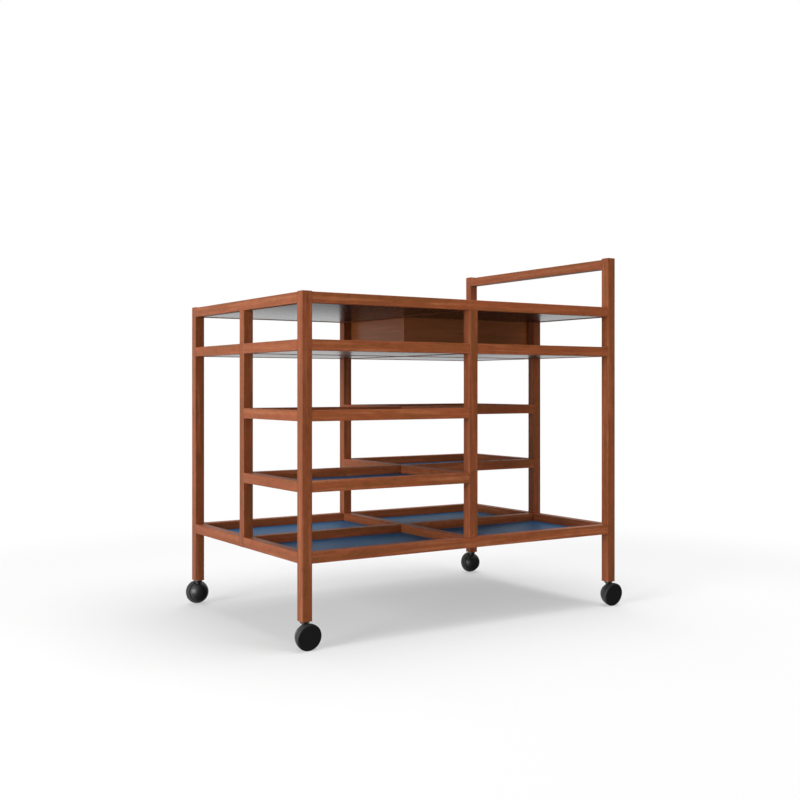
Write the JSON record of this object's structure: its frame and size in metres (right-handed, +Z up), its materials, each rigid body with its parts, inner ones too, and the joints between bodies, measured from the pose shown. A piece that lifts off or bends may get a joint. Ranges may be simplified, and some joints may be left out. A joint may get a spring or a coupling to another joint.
{
  "type": "cheese trolley",
  "caption": "Wooden serving trolley with open tray shelves, tall bottle bays, a drawer, a push handle and swivelling ball casters.",
  "frame": {"origin": "on the floor, under the middle of the trolley", "axes": "+X from the plain end to the handle end, +Y from front to back, +Z up"},
  "size_m": [0.9432, 0.6356, 0.8955],
  "materials": {
    "cherry_wood": "oiled reddish brown hardwood",
    "dowel_wood": "plain beech",
    "blue_panel": "high gloss petrol blue laminate",
    "hood_plastic": "black nylon, satin",
    "wheel_plastic": "black nylon with a soft tread, matt",
    "steel": "zinc plated"
  },
  "bodies": {
    "frame": {"leg_front_left": "cherry_wood", "leg_back_left": "cherry_wood", "handle_leg_front": "cherry_wood", "handle_leg_back": "cherry_wood", "mid_posts_end": "cherry_wood", "mid_posts_side": "cherry_wood", "handle_rail": "cherry_wood", "top_rail_front": "cherry_wood", "top_rail_back": "cherry_wood", "top_rails_end": "cherry_wood", "top_rail_cross": "cherry_wood", "top_panel_left": "blue_panel", "top_panel_right": "blue_panel", "upper_rails_side": "cherry_wood", "upper_rails_end": "cherry_wood", "upper_rail_long": "cherry_wood", "upper_rail_cross": "cherry_wood", "upper_panels": "blue_panel", "middle_rails_side": "cherry_wood", "middle_rails_end": "cherry_wood", "middle_rail_long": "cherry_wood", "middle_rail_cross": "cherry_wood", "middle_panels": "blue_panel", "lower_rails_side": "cherry_wood", "lower_rails_end": "cherry_wood", "lower_rail_long": "cherry_wood", "lower_rail_cross": "cherry_wood", "lower_panels": "blue_panel", "base_rail_front": "cherry_wood", "base_rail_back": "cherry_wood", "base_rails_end": "cherry_wood", "base_rail_long": "cherry_wood", "base_rail_cross": "cherry_wood", "base_panels": "blue_panel", "dowels": "dowel_wood", "caster_sleeves": "steel", "drawer_case_end": "cherry_wood", "drawer_case_sides": "cherry_wood", "drawer_runners": "cherry_wood"},
    "drawer": {"drawer_front": "cherry_wood", "drawer_sides": "cherry_wood", "drawer_back": "cherry_wood", "drawer_floor": "cherry_wood", "drawer_stop_block": "cherry_wood"},
    "swivel_front_left": {"caster_stem_front_left": "steel", "caster_hood_front_left": "hood_plastic", "caster_axle_front_left": "steel"},
    "wheel_front_left": {"caster_wheel_front_left": "wheel_plastic"},
    "swivel_front_right": {"caster_stem_front_right": "steel", "caster_hood_front_right": "hood_plastic", "caster_axle_front_right": "steel"},
    "wheel_front_right": {"caster_wheel_front_right": "wheel_plastic"},
    "swivel_back_left": {"caster_stem_back_left": "steel", "caster_hood_back_left": "hood_plastic", "caster_axle_back_left": "steel"},
    "wheel_back_left": {"caster_wheel_back_left": "wheel_plastic"},
    "swivel_back_right": {"caster_stem_back_right": "steel", "caster_hood_back_right": "hood_plastic", "caster_axle_back_right": "steel"},
    "wheel_back_right": {"caster_wheel_back_right": "wheel_plastic"}
  },
  "joints": [
    {"name": "drawer_slide", "type": "slide", "parent": "frame", "child": "drawer", "axis": [1, 0, 0], "range_m": [0, 0.3]},
    {"name": "swivel_turn_front_left", "type": "hinge", "parent": "frame", "child": "swivel_front_left", "pos_m": [-0.4445, -0.295, 0.0625], "axis": [0, 0, 1], "continuous": true},
    {"name": "wheel_spin_front_left", "type": "hinge", "parent": "swivel_front_left", "child": "wheel_front_left", "pos_m": [-0.442, -0.3103, 0.02938], "axis": [0, -0.9914, -0.1305], "continuous": true},
    {"name": "swivel_turn_front_right", "type": "hinge", "parent": "frame", "child": "swivel_front_right", "pos_m": [0.4395, -0.295, 0.0625], "axis": [0, 0, 1], "continuous": true},
    {"name": "wheel_spin_front_right", "type": "hinge", "parent": "swivel_front_right", "child": "wheel_front_right", "pos_m": [0.442, -0.3103, 0.02938], "axis": [0, -0.9914, -0.1305], "continuous": true},
    {"name": "swivel_turn_back_left", "type": "hinge", "parent": "frame", "child": "swivel_back_left", "pos_m": [-0.4445, 0.295, 0.0625], "axis": [0, 0, 1], "continuous": true},
    {"name": "wheel_spin_back_left", "type": "hinge", "parent": "swivel_back_left", "child": "wheel_back_left", "pos_m": [-0.442, 0.3103, 0.02938], "axis": [0, 0.9914, -0.1305], "continuous": true},
    {"name": "swivel_turn_back_right", "type": "hinge", "parent": "frame", "child": "swivel_back_right", "pos_m": [0.4395, 0.295, 0.0625], "axis": [0, 0, 1], "continuous": true},
    {"name": "wheel_spin_back_right", "type": "hinge", "parent": "swivel_back_right", "child": "wheel_back_right", "pos_m": [0.442, 0.3103, 0.02938], "axis": [0, 0.9914, -0.1305], "continuous": true}
  ]
}
